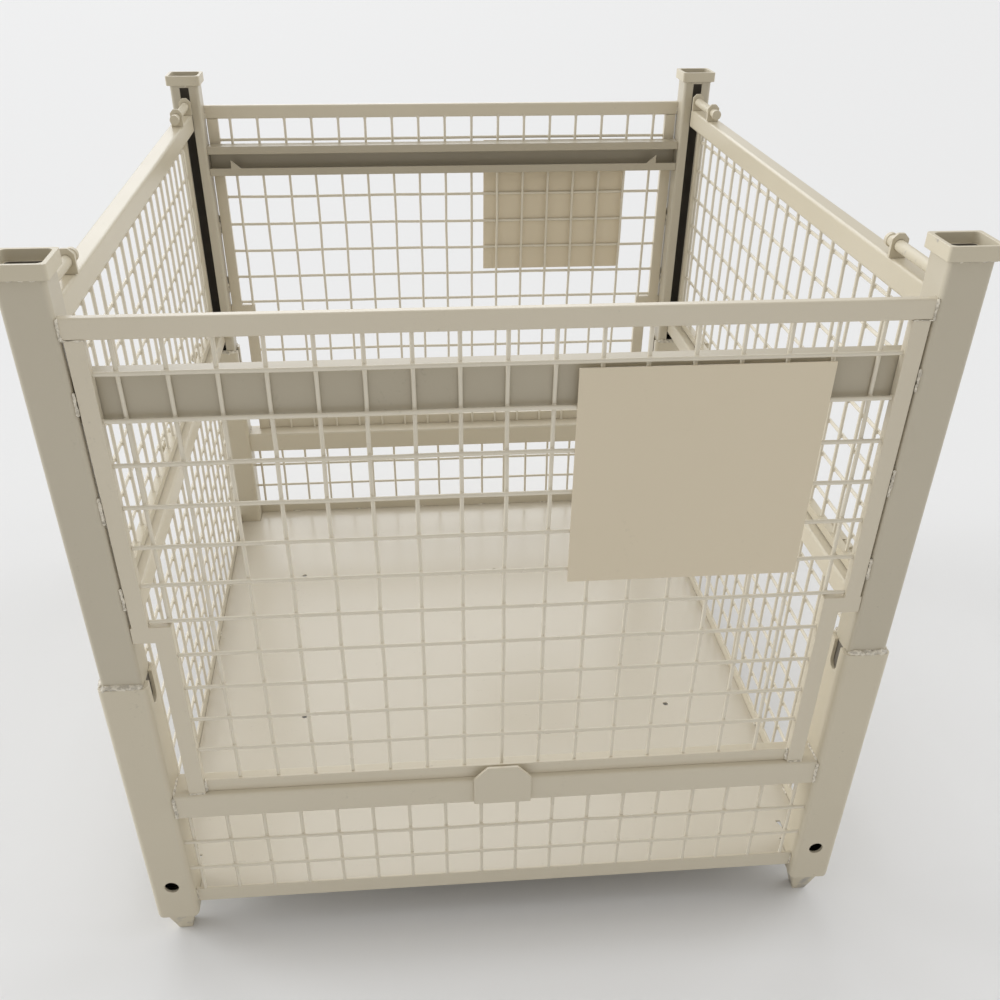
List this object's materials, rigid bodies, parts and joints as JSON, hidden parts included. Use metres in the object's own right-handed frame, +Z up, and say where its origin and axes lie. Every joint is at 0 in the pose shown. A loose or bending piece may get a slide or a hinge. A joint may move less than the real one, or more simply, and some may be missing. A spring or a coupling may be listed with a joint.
{
  "type": "stackable wire mesh container",
  "caption": "Stackable open-topped wire mesh container with tube corner posts, stepped end panels, label plates, and half-drop side gates locked by slide bolts.",
  "frame": {"origin": "floor level, under the middle of the container", "axes": "+Z up; X across the width, +X to the right seen from the front; Y along the depth, front panel at -Y, back panel at +Y"},
  "size_m": [1.004, 1.216, 0.961],
  "materials": {
    "posts": "cream powder coat, satin",
    "collars": "cream powder coat, satin",
    "legs": "cream powder coat, satin",
    "feet": "cream powder coat, worn at the tips",
    "panel_frames": "cream powder coat, satin",
    "wires": "cream powder coat, satin",
    "channels": "cream powder coat, satin",
    "label_plates": "cream powder coat, slightly warmer, smooth",
    "rails": "cream powder coat, satin",
    "deck": "cream powder coat, smooth, slightly glossy",
    "gates": "cream powder coat, satin",
    "hinges": "cream powder coat, satin",
    "bolts": "cream powder coat, rubbed where it slides"
  },
  "bodies": {
    "frame": {"front_left_post": "posts", "front_right_post": "posts", "back_left_post": "posts", "back_right_post": "posts", "front_left_collar": "collars", "front_right_collar": "collars", "back_left_collar": "collars", "back_right_collar": "collars", "front_left_leg": "legs", "front_right_leg": "legs", "back_left_leg": "legs", "back_right_leg": "legs", "front_left_foot": "feet", "front_right_foot": "feet", "back_left_foot": "feet", "back_right_foot": "feet", "front_top_rail": "panel_frames", "back_top_rail": "panel_frames", "front_left_side_bar": "panel_frames", "front_right_side_bar": "panel_frames", "back_left_side_bar": "panel_frames", "back_right_side_bar": "panel_frames", "front_bottom_bar": "panel_frames", "back_bottom_bar": "panel_frames", "front_mesh": "wires", "back_mesh": "wires", "front_channel": "channels", "back_channel": "channels", "front_label_plate": "label_plates", "back_label_plate": "label_plates", "front_mid_rail": "rails", "back_mid_rail": "rails", "front_centre_plate": "rails", "back_centre_plate": "rails", "front_strip_mesh": "wires", "back_strip_mesh": "wires", "front_base_angle": "rails", "back_base_angle": "rails", "left_base_angle": "rails", "right_base_angle": "rails", "deck": "deck", "deck_bearers": "deck", "left_lower_mesh": "wires", "right_lower_mesh": "wires", "left_mid_rail": "rails", "right_mid_rail": "rails", "hinge_leaves": "hinges", "hinge_pins": "bolts"},
    "left_gate": {"left_gate_rail": "gates", "left_gate_frame": "gates", "left_gate_mesh": "wires", "left_bolt_guides": "gates"},
    "right_gate": {"right_gate_rail": "gates", "right_gate_frame": "gates", "right_gate_mesh": "wires", "right_bolt_guides": "gates"},
    "left_front_bolt": {"left_front_bolt": "bolts"},
    "left_back_bolt": {"left_back_bolt": "bolts"},
    "right_front_bolt": {"right_front_bolt": "bolts"},
    "right_back_bolt": {"right_back_bolt": "bolts"}
  },
  "joints": [
    {"name": "right_gate_hinge", "type": "hinge", "parent": "frame", "child": "right_gate", "pos_m": [0.496, 0, 0.516], "axis": [0, 1, 0], "range_deg": [0, 180]},
    {"name": "left_gate_hinge", "type": "hinge", "parent": "frame", "child": "left_gate", "pos_m": [-0.496, 0, 0.516], "axis": [0, -1, 0], "range_deg": [0, 180]},
    {"name": "left_front_bolt_slide", "type": "slide", "parent": "left_gate", "child": "left_front_bolt", "axis": [0, -1, 0], "range_m": [-0.03, 0.015]},
    {"name": "left_back_bolt_slide", "type": "slide", "parent": "left_gate", "child": "left_back_bolt", "axis": [0, 1, 0], "range_m": [-0.03, 0.015]},
    {"name": "right_front_bolt_slide", "type": "slide", "parent": "right_gate", "child": "right_front_bolt", "axis": [0, -1, 0], "range_m": [-0.03, 0.015]},
    {"name": "right_back_bolt_slide", "type": "slide", "parent": "right_gate", "child": "right_back_bolt", "axis": [0, 1, 0], "range_m": [-0.03, 0.015]}
  ]
}
